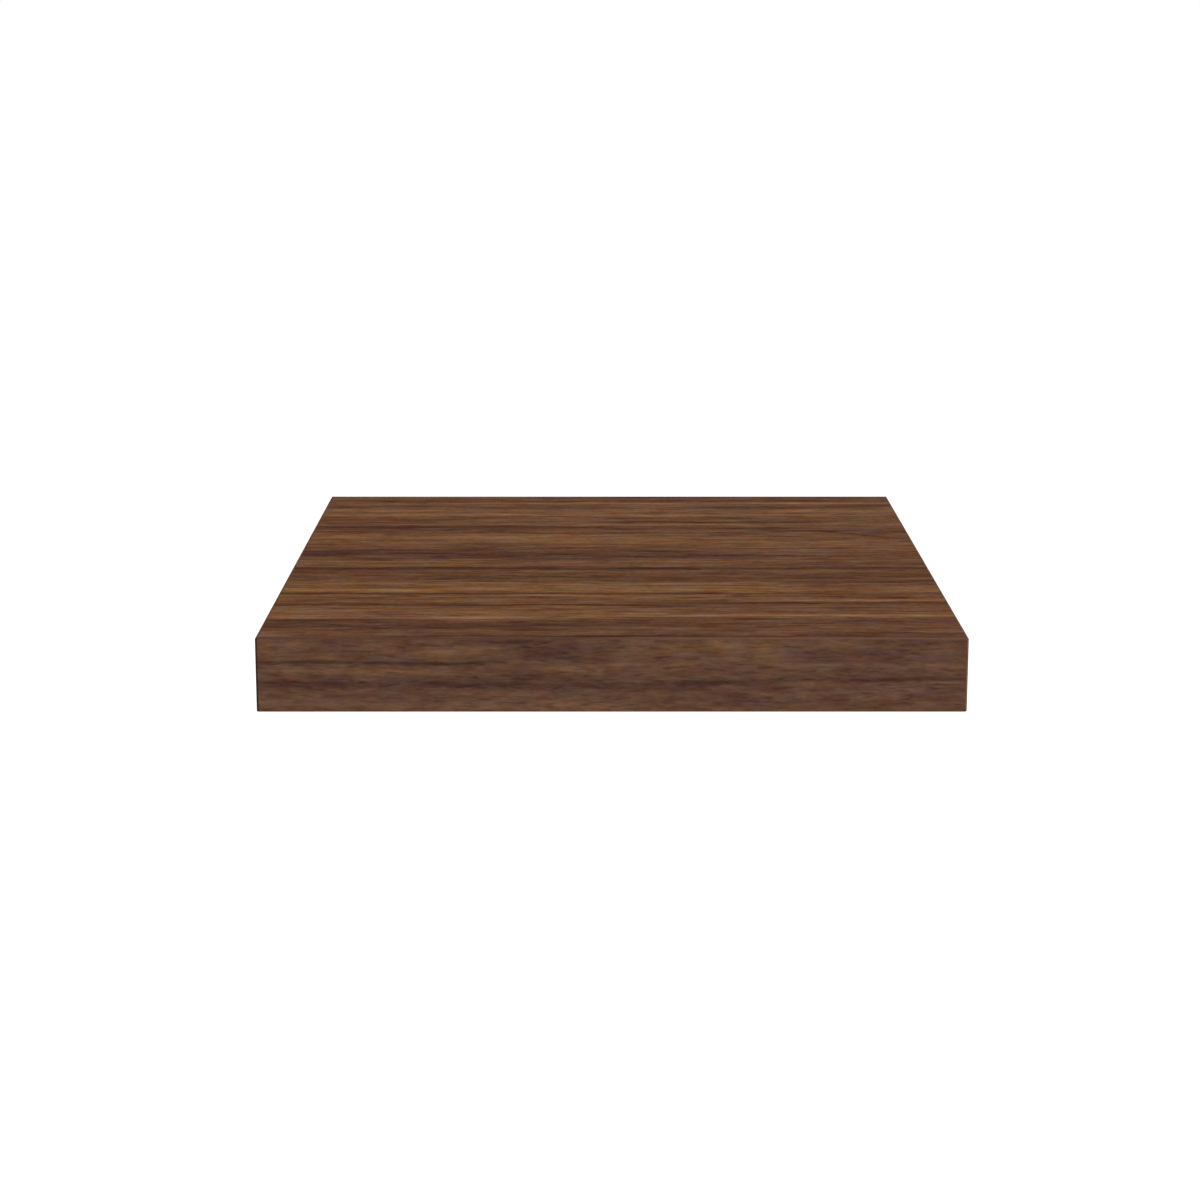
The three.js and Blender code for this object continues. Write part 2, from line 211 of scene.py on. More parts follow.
top_streak_shares = (
    Streak(0.988, 0.009, 0.30, 1.00, -0.45, -0.3),
    Streak(0.957, 0.007, 0.00, 1.00, -1.00),
    Streak(0.936, 0.006, 0.24, 1.00, 0.90, 0.3),
    Streak(0.910, 0.006, 0.00, 0.28, -0.50),
    Streak(0.903, 0.008, 0.66, 0.96, -1.00),
    Streak(0.898, 0.007, 0.26, 0.48, -0.80),
    Streak(0.872, 0.018, 0.00, 1.00, 0.55, 0.2),
    Streak(0.838, 0.009, 0.00, 1.00, 0.85, 0.2),
    Streak(0.810, 0.008, 0.48, 0.74, -1.00),
    Streak(0.797, 0.010, 0.26, 0.72, 0.40),
    Streak(0.795, 0.010, 0.00, 0.26, -1.00),
    Streak(0.776, 0.006, 0.48, 0.86, -1.20, -0.2),
    Streak(0.760, 0.008, 0.10, 0.74, 0.65),
    Streak(0.737, 0.011, 0.00, 0.50, -1.45, -0.3),
    Streak(0.728, 0.007, 0.50, 0.88, -0.90, -0.2),
    Streak(0.706, 0.012, 0.74, 1.00, -0.70, -0.3),
    Streak(0.715, 0.045, 0.00, 0.34, 0.00, -0.7),
    Streak(0.703, 0.007, 0.00, 0.36, -0.55, -0.2),
    Streak(0.692, 0.007, 0.26, 0.74, -0.80, -0.1),
    Streak(0.676, 0.008, 0.84, 1.00, -0.80, -0.2, -0.50),
    Streak(0.640, 0.032, 0.00, 1.00, 0.55, 0.3, -0.06),
    Streak(0.640, 0.012, 0.00, 0.26, 0.25),
    Streak(0.562, 0.008, 0.07, 0.34, -0.45, -0.4),
    Streak(0.531, 0.038, 0.00, 0.48, -0.88, -1.0, -0.04),
    Streak(0.524, 0.030, 0.48, 0.74, -0.60, -0.8, -0.04),
    Streak(0.520, 0.020, 0.74, 1.00, -0.30, -0.5),
    Streak(0.475, 0.007, 0.00, 0.30, 0.60, 0.2),
    Streak(0.459, 0.010, 0.00, 0.74, 0.35, 0.4),
    Streak(0.460, 0.016, 0.70, 1.00, -0.15, -0.8),
    Streak(0.431, 0.008, 0.58, 1.00, -0.95, -0.2),
    Streak(0.429, 0.009, 0.00, 0.62, -1.65, -0.3),
    Streak(0.375, 0.028, 0.00, 1.00, -0.45, -0.1),
    Streak(0.342, 0.008, 0.50, 1.00, -0.35),
    Streak(0.325, 0.008, 0.00, 0.76, 0.85, 0.3),
    Streak(0.304, 0.012, 0.38, 1.00, -0.28, 0.3),
    Streak(0.287, 0.017, 0.00, 1.00, 0.84, 0.8),
    Streak(0.280, 0.050, 0.38, 0.68, -0.08, 0.8),
    Streak(0.262, 0.006, 0.00, 1.00, -0.85),
    Streak(0.250, 0.008, 0.00, 1.00, 0.45, 0.2),
    Streak(0.222, 0.008, 0.70, 1.00, 0.75, 0.2),
    Streak(0.212, 0.007, 0.00, 0.50, 0.40),
    Streak(0.205, 0.008, 0.72, 1.00, -0.40, 1.0),
    Streak(0.204, 0.006, 0.52, 1.00, -0.70),
    Streak(0.192, 0.006, 0.00, 0.56, -1.40),
    Streak(0.157, 0.020, 0.00, 0.60, 0.52, 0.1),
    Streak(0.130, 0.008, 0.46, 1.00, 1.20, 0.7),
    Streak(0.118, 0.008, 0.00, 0.50, 1.14, -0.2),
    Streak(0.106, 0.008, 0.68, 1.00, -0.42),
    Streak(0.084, 0.022, 0.00, 0.72, -0.80, -0.6),
    Streak(0.084, 0.020, 0.72, 1.00, -0.45, -0.6),
    Streak(0.060, 0.014, 0.00, 0.40, -0.62, -0.4),
    Streak(0.058, 0.016, 0.42, 1.00, 0.30),
    Streak(0.036, 0.022, 0.36, 1.00, -0.10, -0.7),
    Streak(0.019, 0.012, 0.38, 0.86, -0.26),
    Streak(0.018, 0.018, 0.00, 0.36, 0.25, -1.5),
    Streak(0.011, 0.008, 0.18, 1.00, -0.90, -0.3),
)

front_streak_shares = (
    Streak(0.945, 0.040, 0.27, 0.40, -0.62, -0.5),
    Streak(0.925, 0.060, 0.55, 0.86, 0.40, 0.2),
    Streak(0.880, 0.100, 0.00, 0.11, -0.10, 1.0),
    Streak(0.880, 0.090, 0.50, 0.74, 0.00, 0.8),
    Streak(0.880, 0.060, 0.62, 0.74, 0.26, 0.1),
    Streak(0.860, 0.060, 0.36, 0.50, -0.40, -0.5),
    Streak(0.810, 0.070, 0.16, 0.36, 0.40, 0.6),
    Streak(0.820, 0.035, 0.51, 0.62, 0.38),
    Streak(0.810, 0.060, 0.23, 0.31, 0.25, 0.5),
    Streak(0.785, 0.075, 0.39, 0.44, -0.70, -0.6),
    Streak(0.777, 0.085, 0.78, 0.92, -0.20, -0.7),
    Streak(0.735, 0.080, 0.50, 0.74, 0.40, 0.3),
    Streak(0.700, 0.035, 0.73, 0.86, 0.36),
    Streak(0.668, 0.022, 0.00, 0.34, -1.05, -0.3),
    Streak(0.650, 0.030, 0.50, 0.68, 0.45, 0.2),
    Streak(0.640, 0.030, 0.74, 1.00, 0.55),
    Streak(0.590, 0.045, 0.86, 1.00, 0.35, 0.2),
    Streak(0.585, 0.045, 0.38, 0.50, 0.80, 0.5),
    Streak(0.582, 0.035, 0.51, 0.63, 0.30, 0.1),
    Streak(0.550, 0.045, 0.02, 0.26, 0.75, 0.8),
    Streak(0.437, 0.034, 0.72, 1.00, -1.00, -0.3, 0.03),
    Streak(0.405, 0.028, 0.03, 0.25, -0.40, -0.7),
    Streak(0.395, 0.026, 0.87, 1.00, 0.42),
    Streak(0.395, 0.040, 0.60, 0.72, -1.08, -0.5),
    Streak(0.365, 0.048, 0.00, 0.62, -0.85, -0.5),
    Streak(0.250, 0.035, 0.26, 0.50, 0.30, -0.2),
    Streak(0.150, 0.060, 0.50, 0.74, -0.32, -0.1),
    Streak(0.100, 0.050, 0.50, 0.66, -0.06, 0.8),
    Streak(0.100, 0.070, 0.00, 0.50, 0.40, 0.3),
)

# Layers of the walnut's grain: how long and how wide their marks are, and how strongly they show
Layer = namedtuple("Layer", "length width strength")
top_layers = (
    Layer(0.160, 0.0120, 0.15),
    Layer(0.100, 0.0046, 0.55),
    Layer(0.048, 0.0021, 0.80),
    Layer(0.014, 0.0014, 0.60),
    Layer(0.0036, 0.0012, 0.45),
)
front_layers = (
    Layer(0.060, 0.0080, 0.30),
    Layer(0.018, 0.0036, 0.55),
    Layer(0.008, 0.0016, 0.55),
    Layer(0.0025, 0.0007, 0.22),
)
side_layers = (
    Layer(0.150, 0.0090, 0.60),
    Layer(0.070, 0.0036, 0.70),
    Layer(0.036, 0.0016, 0.75),
    Layer(0.012, 0.0010, 0.60),
    Layer(0.0030, 0.0008, 0.45),
)

# Dark dashes lie where a layer's marks pass a threshold: long ones that show from afar, and fine
# pores that show from near and are pressed into the foil.
top_dashes = Layer(0.018, 0.0015, 1.6)
front_dashes = Layer(0.009, 0.0011, 1.2)
dash_threshold = 0.3
pores = Layer(0.0030, 0.00018, 1.1)
pore_threshold = 0.45
pore_depth = 0.00005

# Flecks are small shifts of hue towards red or olive, and of saturation. Clouds of golden and of
# purple wood follow the second layer. Finer marks break the streaks up. Unchanged hue is the setting
# that leaves a hue alone, and shade reach is the tone at which the wood gets its lightest shade.
flecks = Layer(0.014, 0.0056, 0.013)
fleck_saturation = 0.12
unchanged_hue = 0.5
cloud_warmth = 0.7
streak_break = 0.4
shade_reach = 2

# The grain bends: how long its waves are and how far they swing
top_bend = Layer(0.070, 0.060, 0.0006)
front_bend = Layer(0.040, 0.015, 0.0005)

foil_roughness = 0.75
foil_roughness_swing = -0.03
foil_gloss = 0.012

# The front band's eased edge grows lighter from left to right over these shares of the width: a painted
# highlight on its rounded edges, stronger towards the right.
painted_highlight_shares = (0.45, 0.60)
core_cloud_share = 0.3

# How much finer detail a noise carries. It stays near the middle of its range, and the gain spreads
# it out.
smooth_noise = 1
soft_noise = 2
fine_noise = 3
finest_noise = 4
noise_gain = 4
bump_strength = 0.5

# Seeds that keep the noises of a material, and those of two faces, apart
layer_seed_step = 7
cloud_seed = 31
bend_seed = 53
dash_seed = 61
pore_seed = 67
break_seed = 71
hue_seed = 83
saturation_seed = 97
bottom_seed = 17
side_seed = 3
patch_seed = 9
line_seed = 5

# The plainer materials: how rough each is, from 0 for a mirror to 1, and the gloss of those that
# aren't metal
fibreboard_roughness = 0.85
chipboard_roughness = 0.88
paper_roughness = 0.95
pine_roughness = 0.7
plate_roughness = 0.34
rod_roughness = 0.28
screw_roughness = 0.26
oxide_roughness = 0.4
brass_roughness = 0.3
weld_roughness = 0.42
nylon_roughness = 0.48
raw_gloss = 0.2
pine_gloss = 0.25
nylon_gloss = 0.4

# How strongly fibres, seams, patches and drawing marks show in them
chip_fibre_share = 0.35
chip_seam_steepness = 6
chip_patch_contrast = 3
pine_fibre_share = 0.3
steel_line_share = 0.4
steel_roughness_swing = 0.05
weld_roughness_swing = 0.1

# Marks in them: their lengths along X, Y and Z, and how deep they lie
Marks = namedtuple("Marks", "x y z depth", defaults=(0,))
core_clouds = Marks(0.03, 0.03, 0.006)
core_grain = Marks(0.0006, 0.0006, 0.0006, 0.00003)
board_fibres = Marks(0.0012, 0.0012, 0.0003, 0.00014)
paper_fibres = Marks(0.002, 0.002, 0.0004, 0.0001)
chip_bends = {"X": Marks(0.003, 0.003, 0.003, 0.0009), "Z": Marks(0.002, 0.002, 0.002, 0.0005)}
chip_patches = Marks(0.005, 0.005, 0.002)
large_chips = Marks(0.0038, 0.0028, 0.0011, 0.0002)
large_chip_fibres = Marks(0.0020, 0.0010, 0.0003)
small_chips = Marks(0.0013, 0.0011, 0.0005, 0.0002)
small_chip_fibres = Marks(0.0009, 0.0009, 0.0003)
pine_waves = Marks(0.09, 0.02, 0.02, 0.004)
pine_spread = Marks(0.30, 0.009, 0.009, 0.0008)
pine_fibres = Marks(0.03, 0.0006, 0.0006, 0.00006)
pine_ring = 0.0034
pine_slope = 0.35
plate_marks = Marks(0.03, 0.0008, 0.0008, 0.00002)
rod_marks = Marks(0.0008, 0.02, 0.0008, 0.00002)
steel_clouds = Marks(0.02, 0.02, 0.02)
weld_grains = Marks(0.0012, 0.0012, 0.0012, 0.00018)
nylon_clouds = Marks(0.004, 0.004, 0.004)
nylon_grain = Marks(0.0005, 0.0005, 0.0005, 0.00003)


def colour(red, green, blue):
    """A colour as a screen shows it, each part from 0 to 255, as linear light."""
    def linear(part):
        share = part / 255
        return share / 12.92 if share <= 0.04045 else ((share + 0.055) / 1.055) ** 2.4

    return (linear(red), linear(green), linear(blue), 1)


# The walnut's shades from dark to light, first where it is purple and then where it is golden
top_shades = (
    ((61, 37, 30), (82, 52, 40), (104, 70, 51), (124, 89, 66), (145, 108, 81)),
    ((65, 39, 26), (88, 57, 36), (111, 75, 46), (133, 94, 59), (154, 113, 70)),
)
front_shades = (
    ((58, 38, 33), (76, 51, 45), (94, 66, 56), (111, 82, 70), (127, 96, 82)),
    ((62, 41, 31), (83, 56, 42), (103, 73, 53), (123, 90, 64), (141, 106, 75)),
)


class Shader:
    """A material's nodes. Most methods add a node and return its output."""

    def __init__(self, name, sockets):
        self.material = bpy.data.materials.new(name)
        self.material.use_nodes = True
        self.tree = self.material.node_tree
        self.surface = self.tree.nodes["Principled BSDF"]
        self.place = self.node("TexCoord", {}, "Object")
        for socket, value in sockets.items():
            self.set(socket, value)

    def put(self, socket, value):
        """Links an output to a socket, or sets the socket to a plain value."""
        if isinstance(value, bpy.types.NodeSocket):
            self.tree.links.new(value, socket)
        else:
            socket.default_value = value

    def set(self, socket, value):
        """Sets or links one socket of the surface."""
        self.put(self.surface.inputs[socket], value)

    def node(self, kind, inputs, output=0, **settings):
        """Any shader node, with its settings and its inputs by name or number."""
        node = self.tree.nodes.new("ShaderNode" + kind)
        for name, value in settings.items():
            setattr(node, name, value)
        for key, value in inputs.items():
            self.put(node.inputs[key], value)
        return node.outputs[output]

    def math(self, operation, *values, clamp=False):
        """One sum of up to three values or outputs."""
        return self.node("Math", dict(enumerate(values)), operation=operation, use_clamp=clamp)

    def axis(self, letter):
        """The place along X, Y or Z."""
        return self.node("SeparateXYZ", {0: self.place}, letter)

    def stretched(self, lengths, seed=0):
        """The place, counted in these lengths along X, Y and Z."""
        scale = [1 / length for length in lengths[:3]]
        inputs = {"Vector": self.place, "Scale": scale, "Location": (seed, seed, seed)}
        return self.node("Mapping", inputs)

    def centred(self, share):
        """A share from 0 to 1 as a value from -1 to 1."""
        return self.math("MULTIPLY_ADD", share, 2, -1)

    def as_share(self, value):
        """A value from -1 to 1 as a share from 0 to 1."""
        return self.math("MULTIPLY_ADD", value, 0.5, 0.5, clamp=True)

    def noise(self, lengths, detail=soft_noise, seed=0):
        """Marks of these lengths, as a value that swings about 0 and rarely passes 1."""
        inputs = {"Vector": self.stretched(lengths, seed), "Scale": 1, "Detail": detail}
        return self.math("MULTIPLY_ADD", self.node("TexNoise", inputs), noise_gain, -noise_gain / 2)

    def bend(self, letter, wave, reach):
        """Shifts the places that later nodes read along one axis, so that the grain bends."""
        shift = self.node("CombineXYZ", {letter: self.math("MULTIPLY", wave, reach)})
        self.place = self.node("VectorMath", {0: self.place, 1: shift}, operation="ADD")

    def ramp(self, value, colours):
        """The colours in equal steps, for a value from -1 to 1."""
        ramp = self.tree.nodes.new("ShaderNodeValToRGB")
        stops = ramp.color_ramp.elements
        last = len(colours) - 1
        for i in range(1, last):
            stops.new(i / last)
        for stop, shade in zip(stops, colours):
            stop.color = shade
        self.put(ramp.inputs[0], self.as_share(value))
        return ramp.outputs[0]

    def mix(self, share, first, second):
        """Two colours mixed: all of the first where the share is 0, and of the second where it is 1."""
        node = self.tree.nodes.new("ShaderNodeMix")
        node.data_type = "RGBA"
        for key, value in (("Factor", share), ("A", first), ("B", second)):
            socket = next(s for s in node.inputs if s.name == key and s.enabled)
            self.put(socket, value)
        return next(s for s in node.outputs if s.enabled)

    def bump(self, height, depth):
        """Makes the surface as uneven as the height says."""
        inputs = {"Height": height, "Distance": depth, "Strength": bump_strength}
        self.set("Normal", self.node("Bump", inputs))


def streaked(shader, across, streaks):
    """The tone and the warmth that the streaks give on the face that X and the across axis span."""
    start, size = (board_front, board_depth) if across == "Y" else (board_bottom, board_thickness)
    along = shader.math("MULTIPLY_ADD", shader.axis("X"), 1 / board_width, -board_left / board_width)
    share = shader.math("MULTIPLY_ADD", shader.axis(across), 1 / size, -start / size)
    soft = streak_softness_share
    tone = 0
    warmth = 0
    for streak in streaks:
        centre = (streak.start + streak.end) / 2
        offset = (streak.lean * centre - streak.place) / streak.width
        if streak.lean:
            offset = shader.math("MULTIPLY_ADD", along, -streak.lean / streak.width, offset)
        distance = shader.math("MULTIPLY_ADD", share, 1 / streak.width, offset)
        fall = shader.math("MULTIPLY", shader.math("MULTIPLY", distance, distance), -1)
        weight = shader.math("EXPONENT", fall)
        for end, way in ((streak.start, 1), (streak.end, -1)):
            if 0 < end < 1:
                middle = 0.5 - way * end / soft
                inside = shader.math("MULTIPLY_ADD", along, way / soft, middle, clamp=True)
                weight = shader.math("MULTIPLY", weight, inside)
        tone = shader.math("MULTIPLY_ADD", weight, streak.tone, tone)
        if streak.warmth:
            warmth = shader.math("MULTIPLY_ADD", weight, streak.warmth, warmth)
    return tone, warmth


def wood_colour(shader, tone, warmth, shades):
    """The shade of walnut for a tone, from purple wood to golden wood as it gets warmer."""
    value = shader.math("MULTIPLY", tone, 1 / shade_reach)
    purple_wood, golden_wood = [
        shader.ramp(value, [colour(*shade) for shade in ramp]) for ramp in shades
    ]
    return shader.mix(shader.as_share(warmth), purple_wood, golden_wood)


def walnut(name, layers, dashes, bend, shades, grain="X", across="Y", streaks=(), seed=0):
    """Walnut foil with its grain along one axis, and any streaks beside each other along another."""
    shader = Shader(name, {"Specular IOR Level": foil_gloss})

    def marks(layer, detail, seed_step):
        lengths = [layer.length if letter == grain else layer.width for letter in "XYZ"]
        return shader.noise(lengths, detail, seed + seed_step)

    def past(threshold, layer, seed_step):
        over = shader.math("SUBTRACT", marks(layer, smooth_noise, seed_step), threshold)
        return shader.math("MAXIMUM", over, 0)

    shader.bend(across, marks(bend, smooth_noise, bend_seed), bend.strength)
    tone = 0
    for i, layer in enumerate(layers):
        layer_marks = marks(layer, fine_noise, layer_seed_step * i)
        tone = shader.math("MULTIPLY_ADD", layer_marks, layer.strength, tone)
    dashed = past(dash_threshold, dashes, dash_seed)
    tone = shader.math("MULTIPLY_ADD", dashed, -dashes.strength, tone)
    pressed = past(pore_threshold, pores, pore_seed)
    tone = shader.math("MULTIPLY_ADD", pressed, -pores.strength, tone)
    warmth = shader.math("MULTIPLY", marks(layers[1], soft_noise, cloud_seed), cloud_warmth)
    if streaks:
        streak_tone, streak_warmth = streaked(shader, across, streaks)
        breaks = marks(layers[2], soft_noise, break_seed)
        broken = shader.math("MULTIPLY_ADD", breaks, streak_break, 1)
        tone = shader.math("MULTIPLY_ADD", streak_tone, broken, tone)
        warmth = shader.math("ADD", streak_warmth, warmth)
    wood = wood_colour(shader, tone, warmth, shades)
    hue_marks = marks(flecks, fine_noise, hue_seed)
    hue = shader.math("MULTIPLY_ADD", hue_marks, flecks.strength, unchanged_hue)
    saturation_marks = marks(flecks, fine_noise, saturation_seed)
    saturation = shader.math("MULTIPLY_ADD", saturation_marks, fleck_saturation, 1)
    inputs = {"Color": wood, "Hue": hue, "Saturation": saturation}
    shader.set("Base Color", shader.node("HueSaturation", inputs))
    shader.set("Roughness", shader.math("MULTIPLY_ADD", tone, foil_roughness_swing, foil_roughness))
    shader.bump(shader.math("MULTIPLY", pressed, -1), pore_depth)
    return shader.material


def band_core_with_painted_light(name, dark, light, letter=None, start=0, end=0):
    """The brown plastic of an edge band, which shows on its rounded edges and ends. Its colour holds
    painted light: each band gets its own lighter or darker shade of it. It is cloudy, or turns from the
    dark shade to the light one between two places along an axis, which paints a shade or a highlight
    along it."""
    shader = Shader(name, {"Roughness": foil_roughness, "Specular IOR Level": foil_gloss})
    tone = shader.noise(core_clouds, fine_noise)
    if letter:
        half = (end - start) / 2
        way = shader.math("MULTIPLY_ADD", shader.axis(letter), 1 / half, -(start + half) / half)
        tone = shader.math("MULTIPLY_ADD", tone, core_cloud_share, way)
    shader.set("Base Color", shader.ramp(tone, [dark, light]))
    shader.bump(shader.noise(core_grain), core_grain.depth)
    return shader.material


def fibrous(name, fibres, shades, roughness):
    """A raw material of pressed fibres, such as fibreboard or brown paper."""
    shader = Shader(name, {"Roughness": roughness, "Specular IOR Level": raw_gloss})
    tone = shader.noise(fibres, finest_noise)
    shader.set("Base Color", shader.ramp(tone, shades))
    shader.bump(tone, fibres.depth)
    return shader.material


def flakes(shader, sizes, fibres, seam):
    """Flakes of wood, each with its own tone and fibres, in seams of one colour: colour and height."""
    shades = [colour(128, 92, 56), colour(166, 128, 84), colour(190, 154, 108), colour(214, 182, 138)]
    cells = {"Vector": shader.stretched(sizes), "Scale": 1}
    chosen = shader.node("SeparateColor", {0: shader.node("TexVoronoi", cells, "Color")})
    fibre_marks = shader.noise(fibres, finest_noise)
    tone = shader.math("MULTIPLY_ADD", fibre_marks, chip_fibre_share, shader.centred(chosen))
    edge = shader.node("TexVoronoi", cells, feature="DISTANCE_TO_EDGE")
    height = shader.math("MULTIPLY", edge, chip_seam_steepness, clamp=True)
    return shader.mix(height, seam, shader.ramp(tone, shades)), height


def chipboard():
    """Raw sawn chipboard: pale and dark flakes lying flat, with crumbs between the larger ones."""
    shader = Shader("chipboard", {"Roughness": chipboard_roughness, "Specular IOR Level": raw_gloss})
    for letter, waves in chip_bends.items():
        shader.bend(letter, shader.noise(waves, fine_noise), waves.depth)
    chips, chip_height = flakes(shader, large_chips, large_chip_fibres, colour(116, 84, 52))
    crumbs, crumb_height = flakes(shader, small_chips, small_chip_fibres, colour(124, 92, 58))
    patches = shader.noise(chip_patches, soft_noise, patch_seed)
    share = shader.math("MULTIPLY_ADD", patches, chip_patch_contrast, 0.5, clamp=True)
    shader.set("Base Color", shader.mix(share, crumbs, chips))
    shader.bump(shader.math("MULTIPLY", chip_height, crumb_height), large_chips.depth)
    return shader.material


def pine():
    """Planed pine. Each ring is pale early wood that darkens to a thin, sharp line of late wood."""
    shader = Shader("pine", {"Roughness": pine_roughness, "Specular IOR Level": pine_gloss})
    for waves in (pine_waves, pine_spread):
        shader.bend("Z", shader.noise(waves), waves.depth)
    across = shader.math("MULTIPLY_ADD", shader.axis("Y"), pine_slope, shader.axis("Z"))
    growth = shader.math("FRACT", shader.math("DIVIDE", across, pine_ring))
    fibre_marks = shader.noise(pine_fibres, fine_noise)
    tone = shader.math("MULTIPLY_ADD", fibre_marks, pine_fibre_share, shader.centred(growth))
    early = [colour(228, 200, 154), colour(224, 194, 146), colour(216, 182, 130)]
    late = [colour(204, 164, 110), colour(184, 138, 84)]
    shader.set("Base Color", shader.ramp(tone, early + late))
    shader.bump(tone, pine_fibres.depth)
    return shader.material


def plated_steel(name, dark, light, roughness, marks=plate_marks):
    """Plated metal with faint drawing marks and cloudy gloss."""
    shader = Shader(name, {"Metallic": 1})
    clouds = shader.noise(steel_clouds, fine_noise)
    lines = shader.noise(marks, soft_noise, line_seed)
    tone = shader.math("MULTIPLY_ADD", lines, steel_line_share, clouds)
    shader.set("Base Color", shader.ramp(tone, [dark, light]))
    shader.set("Roughness", shader.math("MULTIPLY_ADD", clouds, steel_roughness_swing, roughness))
    shader.bump(lines, marks.depth)
    return shader.material


def weld_metal():
    """The welds: a little darker than the plate, rough between the ripples."""
    shader = Shader("weld_metal", {"Metallic": 1})
    grains = shader.noise(weld_grains, finest_noise)
    shades = [colour(112, 108, 104), colour(150, 148, 146), colour(178, 178, 176)]
    shader.set("Base Color", shader.ramp(grains, shades))
    roughness = shader.math("MULTIPLY_ADD", grains, weld_roughness_swing, weld_roughness)
    shader.set("Roughness", roughness)
    shader.bump(grains, weld_grains.depth)
    return shader.material


def nylon():
    """Grey moulded nylon with a soft, slightly uneven surface."""
    shader = Shader("nylon", {"Roughness": nylon_roughness, "Specular IOR Level": nylon_gloss})
    shades = [colour(128, 131, 133), colour(150, 153, 155)]
    shader.set("Base Color", shader.ramp(shader.noise(nylon_clouds, fine_noise), shades))
    shader.bump(shader.noise(nylon_grain), nylon_grain.depth)
    return shader.material


def make_materials():
    """All materials, by the short names that the pieces ask for."""
    painted_highlight_span = [board_left + share * board_width for share in painted_highlight_shares]
    # Where the painted shade on the left band's rounded front end fades out
    painted_shade_span = (board_front + band_easing / 2, board_front + band_easing)
    brown_board = [colour(104, 74, 48), colour(138, 104, 72), colour(164, 130, 96)]
    brown_paper = [colour(148, 118, 80), colour(182, 150, 108), colour(200, 170, 130)]
    # Painted highlight: the front band's plastic turns from its own shade to a lighter one towards the
    # right.
    front_core = (colour(90, 62, 49), colour(108, 77, 61))
    # Painted shade: the left band's plastic is dark on its rounded front end and its own shade
    # elsewhere.
    left_core = (colour(66, 44, 34), colour(106, 75, 54))
    # Painted highlight: the right band's plastic is given a lighter shade than the other bands'
    # plastic.
    right_core = (colour(118, 83, 60), colour(134, 96, 71))
    zinc = (colour(150, 153, 157), colour(196, 199, 202))
    yellow_zinc = (colour(160, 158, 150), colour(204, 202, 192))
    oxide = (colour(26, 27, 31), colour(48, 49, 54))
    brass = (colour(158, 122, 62), colour(200, 166, 96))
    flat_grain = (top_layers, top_dashes, top_bend, top_shades)
    front_grain = (front_layers, front_dashes, front_bend, front_shades)
    side_grain = (side_layers, front_dashes, top_bend, front_shades)
    return {
        "top": walnut("walnut_top", *flat_grain, streaks=top_streak_shares),
        "bottom": walnut(
            "walnut_bottom", *flat_grain, streaks=top_streak_shares, seed=bottom_seed
        ),
        "front": walnut("walnut_front", *front_grain, across="Z", streaks=front_streak_shares),
        "side": walnut("walnut_side", *side_grain, grain="Y", across="Z", seed=side_seed),
        "front_core": band_core_with_painted_light("front_core", *front_core, "X", *painted_highlight_span),
        "left_core": band_core_with_painted_light("left_core", *left_core, "Y", *painted_shade_span),
        "right_core": band_core_with_painted_light("right_core", *right_core),
        "fibreboard": fibrous("fibreboard", board_fibres, brown_board, fibreboard_roughness),
        "chipboard": chipboard(),
        "pine": pine(),
        "paper": fibrous("kraft_paper", paper_fibres, brown_paper, paper_roughness),
        "steel": plated_steel("zinc_steel", *zinc, plate_roughness),
        "rod": plated_steel("zinc_rod", *zinc, rod_roughness, rod_marks),
        "screw": plated_steel("zinc_screw", *yellow_zinc, screw_roughness),
        "black": plated_steel("black_oxide", *oxide, oxide_roughness),
        "brass": plated_steel("brass", *brass, brass_roughness),
        "weld": weld_metal(),
        "nylon": nylon(),
    }


def turned(profile, relief=None, steps=round_steps):
    """A mesh turned about Z. A row of the profile is (radius, height), or (radius, height, depth) where
    relief(angle, height) times the depth is added to the radius. The last row joins the first."""
    mesh = bmesh.new()
    rings = []
    for reach, height, *depth in profile:
        if reach == 0:
            rings.append([mesh.verts.new((0, 0, height))])
            continue
        ring = []
        for step in range(steps):
            angle = 2 * math.pi * (step + 0.5) / steps
            out = reach + (depth[0] * relief(angle, height) if depth else 0)
            ring.append(mesh.verts.new((out * math.cos(angle), out * math.sin(angle), height)))
        rings.append(ring)
    for ring, following in zip(rings, rings[1:] + rings[:1]):
        for step in range(steps):
            near = [ring[i % len(ring)] for i in (step, step + 1)]
            far = [following[i % len(following)] for i in (step + 1, step)]
            corners = list(dict.fromkeys(near + far))
            if len(corners) > 2:
                mesh.faces.new(corners)
    bmesh.ops.recalc_face_normals(mesh, faces=mesh.faces)
    return mesh


def block(start, end):
    """A block between two corners."""
    mesh = bmesh.new()
    bmesh.ops.create_cube(mesh, size=1)
    for vertex in mesh.verts:
        vertex.co = [start[i] + (vertex.co[i] + 0.5) * (end[i] - start[i]) for i in range(3)]
    return mesh


def ease(mesh, size, chosen, steps=easing_steps):
    """Rounds the edges whose middle is chosen."""
    edges = [edge for edge in mesh.edges if chosen((edge.verts[0].co + edge.verts[1].co) / 2)]
    bmesh.ops.bevel(
        mesh, geom=edges, offset=size, segments=steps, profile=round_profile, affect="EDGES"
    )


def piece(name, mesh, materials, turn=Matrix(), place=(0, 0, 0)):
    """A scene object from a mesh, first turned and then moved to its place."""
    mesh.transform(Matrix.Translation(place) @ turn)
    data = bpy.data.meshes.new(name)
    mesh.to_mesh(data)
    mesh.free()
    for material in materials:
        data.materials.append(material)
    obj = bpy.data.objects.new(name, data)
    bpy.context.scene.collection.objects.link(obj)
    return obj


def drill(size, start, end, turn=Matrix(), place=(0, 0, 0)):
    """A round cutter between two heights."""
    profile = [(0, start), (size, start), (size, end), (0, end)]
    return piece("drill", turned(profile), [], turn, place)


